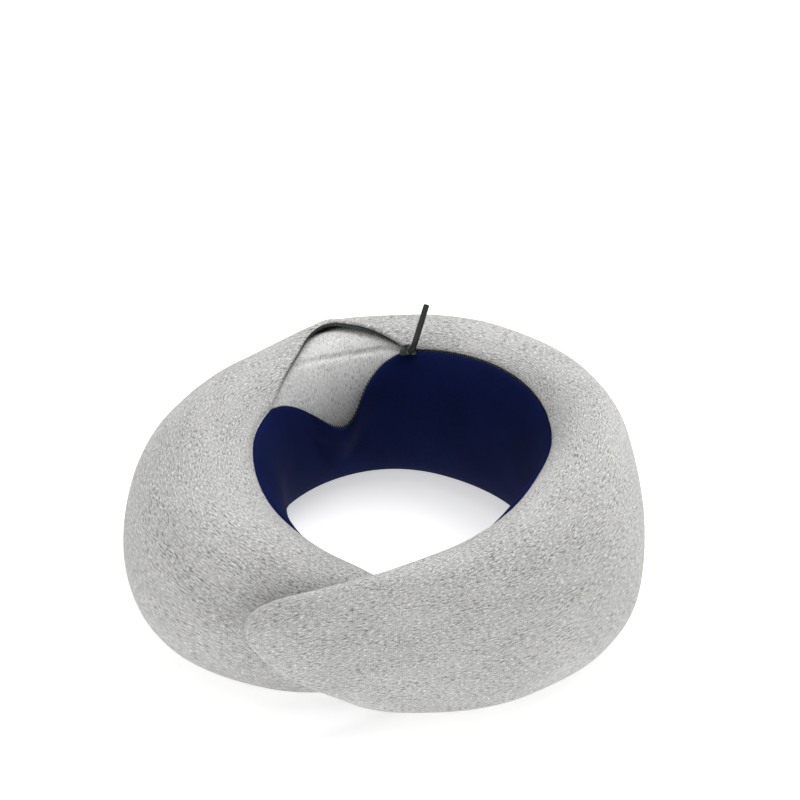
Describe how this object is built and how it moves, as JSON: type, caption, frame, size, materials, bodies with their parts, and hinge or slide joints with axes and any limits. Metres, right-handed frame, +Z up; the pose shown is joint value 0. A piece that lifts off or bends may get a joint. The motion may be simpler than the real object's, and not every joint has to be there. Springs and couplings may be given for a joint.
{
  "type": "neck pillow",
  "caption": "Wrap-around travel neck pillow: foam ring with overlapping arms in a zipped jersey cover, grey outside and navy at the neck.",
  "frame": {"origin": "middle of the pillow's footprint, on the surface it stands on", "axes": "+Z up; +Y towards the back of the neck, -Y towards the overlapping arms; +X towards the taller side"},
  "size_m": [0.2724, 0.2454, 0.1187],
  "materials": {
    "outer_jersey": "heathered grey jersey knit",
    "neck_jersey": "smooth navy jersey",
    "liner_jersey": "light grey jersey liner",
    "foam": "open-cell memory foam",
    "zip_tape": "woven dark grey tape",
    "zip_coil": "nylon coil",
    "zip_metal": "dark nickel",
    "pull_rubber": "soft moulded tab",
    "hook_loop": "hook and loop tape"
  },
  "bodies": {
    "pillow": {"foam_core": "foam", "liner_outer": "liner_jersey", "liner_inner": "liner_jersey", "cover_shell": "outer_jersey", "neck_panel": "neck_jersey", "zip_tape_upper": "zip_tape", "zip_tape_lower": "zip_tape", "zip_coil_upper": "zip_coil", "zip_coil_lower": "zip_coil", "zip_top_stops": "zip_metal", "zip_bottom_stop": "zip_metal", "loop_patch": "hook_loop"},
    "outer_arm": {"foam_core_arm": "foam", "liner_outer_arm": "liner_jersey", "liner_inner_arm": "liner_jersey", "cover_shell_arm": "outer_jersey", "neck_panel_arm": "neck_jersey", "hook_patch": "hook_loop"},
    "slider": {"zip_slider": "zip_metal"},
    "pull": {"zip_pull": "zip_metal", "pull_tab": "pull_rubber"}
  },
  "joints": [
    {"name": "arm_flex", "type": "hinge", "parent": "pillow", "child": "outer_arm", "pos_m": [0.135, -0.04294, 0.05], "axis": [0, 0, 1], "range_deg": [0, 40], "stiffness_Nm_per_rad": 0.5},
    {"name": "zip_travel", "type": "hinge", "parent": "pillow", "child": "slider", "pos_m": [0.0087, 0.0014, 0.088], "axis": [-0.1045, 0, 0.9945], "range_deg": [-81, 58]},
    {"name": "pull_swing", "type": "hinge", "parent": "slider", "child": "pull", "pos_m": [0.01276, 0.0758, 0.09191], "axis": [0.0319, -0.7058, -0.7076], "range_deg": [-30, 45]}
  ]
}
